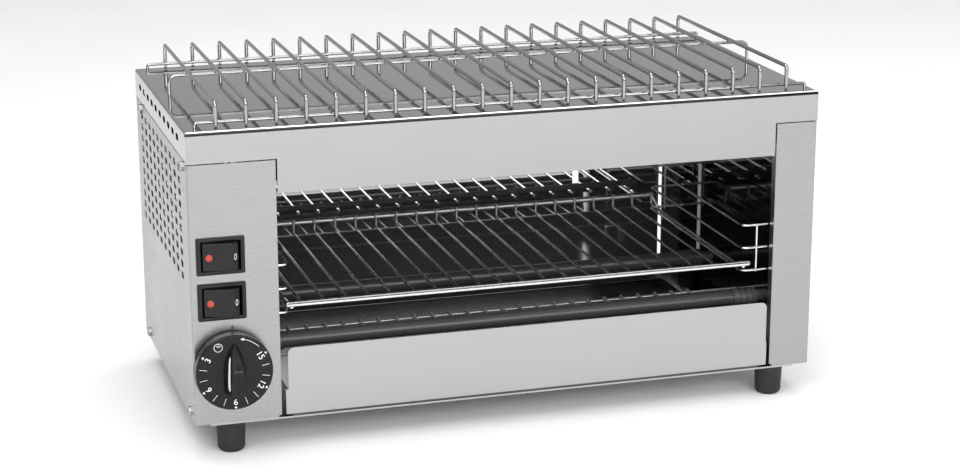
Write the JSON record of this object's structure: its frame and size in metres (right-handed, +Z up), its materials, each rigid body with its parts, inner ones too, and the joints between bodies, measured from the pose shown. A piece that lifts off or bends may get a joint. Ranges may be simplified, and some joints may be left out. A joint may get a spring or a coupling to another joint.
{
  "type": "sandwich toaster",
  "caption": "Open-fronted stainless counter toaster with quartz heating tubes, sliding toast rack, crumb tray, warming rack on top, rocker switches and a clockwork timer dial.",
  "frame": {"origin": "on the counter under the middle of the whole object's box, between the feet", "axes": "+X to the user's right as they face the open front, +Y towards the back, +Z up"},
  "size_m": [0.4444, 0.2422, 0.2384],
  "materials": {
    "satin_steel": "satin stainless sheet",
    "bright_steel": "bright annealed stainless sheet",
    "chromed_wire": "bright chromed wire",
    "plated_steel": "bright zinc plated",
    "black_plastic": "black semi-gloss moulding",
    "dial_plastic": "black fine-textured moulding with white printing",
    "timer_case": "light grey moulding",
    "white_plastic": "white moulding",
    "red_lens": "clear red",
    "foot_rubber": "black moulded rubber",
    "quartz": "satin quartz",
    "heating_wire": "oxidised resistance wire",
    "ceramic": "unglazed white ceramic",
    "brass_terminal": "plain",
    "lead_insulation": "silicone rubber sleeve",
    "earth_insulation": "green and yellow sleeve"
  },
  "bodies": {
    "casing": {"hood": "satin_steel", "left_side_panel": "satin_steel", "right_side_panel": "satin_steel", "base_pan": "satin_steel", "rear_panel": "bright_steel", "ceiling_pan": "bright_steel", "left_liner": "bright_steel", "right_liner": "bright_steel", "left_runner_guide": "chromed_wire", "right_runner_guide": "chromed_wire", "lower_guard_grid": "chromed_wire", "upper_switch_housing": "black_plastic", "lower_switch_housing": "black_plastic", "timer_body": "timer_case", "timer_screws": "plated_steel", "side_screws_left": "plated_steel", "side_screws_right": "plated_steel", "rear_screws": "plated_steel", "foot_screws": "plated_steel", "foot_front_left": "foot_rubber", "foot_front_right": "foot_rubber", "foot_rear_left": "foot_rubber", "foot_rear_right": "foot_rubber", "terminal_block": "white_plastic", "cable_gland": "black_plastic", "gland_nut": "black_plastic", "earth_stud": "plated_steel", "tube_terminals": "brass_terminal", "upper_front_tube": "quartz", "upper_front_coil": "heating_wire", "upper_front_caps": "ceramic", "upper_rear_tube": "quartz", "upper_rear_coil": "heating_wire", "upper_rear_caps": "ceramic", "lower_front_tube": "quartz", "lower_front_coil": "heating_wire", "lower_front_caps": "ceramic", "lower_rear_tube": "quartz", "lower_rear_coil": "heating_wire", "lower_rear_caps": "ceramic", "live_wire": "lead_insulation", "timer_wire": "lead_insulation", "switch_link_wire": "lead_insulation", "upper_element_wire": "lead_insulation", "lower_element_wire": "lead_insulation", "upper_neutral_wire": "lead_insulation", "lower_neutral_wire": "lead_insulation", "earth_wire": "earth_insulation", "upper_jumper": "lead_insulation", "lower_jumper": "lead_insulation"},
    "toast_rack": {"toast_rack": "chromed_wire"},
    "crumb_tray": {"crumb_tray_front": "satin_steel", "crumb_tray_pan": "bright_steel"},
    "warming_rack": {"top_warming_rack": "chromed_wire"},
    "upper_rocker": {"upper_rocker": "black_plastic", "upper_lens": "red_lens"},
    "lower_rocker": {"lower_rocker": "black_plastic", "lower_lens": "red_lens"},
    "dial": {"timer_knob": "dial_plastic", "timer_shaft": "plated_steel"}
  },
  "joints": [
    {"name": "toast_rack_slide", "type": "slide", "parent": "casing", "child": "toast_rack", "axis": [0, -1, 0], "range_m": [0, 0.165]},
    {"name": "crumb_tray_slide", "type": "slide", "parent": "casing", "child": "crumb_tray", "axis": [0, -1, 0], "range_m": [0, 0.18]},
    {"name": "warming_rack_lift", "type": "slide", "parent": "casing", "child": "warming_rack", "axis": [0, 0, 1], "range_m": [0, 0.06]},
    {"name": "upper_rocker_hinge", "type": "hinge", "parent": "casing", "child": "upper_rocker", "pos_m": [-0.2, -0.0933, 0.1378], "axis": [0, 0, -1], "range_deg": [0, 14]},
    {"name": "lower_rocker_hinge", "type": "hinge", "parent": "casing", "child": "lower_rocker", "pos_m": [-0.2, -0.0933, 0.1068], "axis": [0, 0, -1], "range_deg": [0, 14]},
    {"name": "timer_turn", "type": "hinge", "parent": "casing", "child": "dial", "pos_m": [-0.1946, -0.1011, 0.0607], "axis": [0, 1, 0], "range_deg": [-30, 300]}
  ]
}
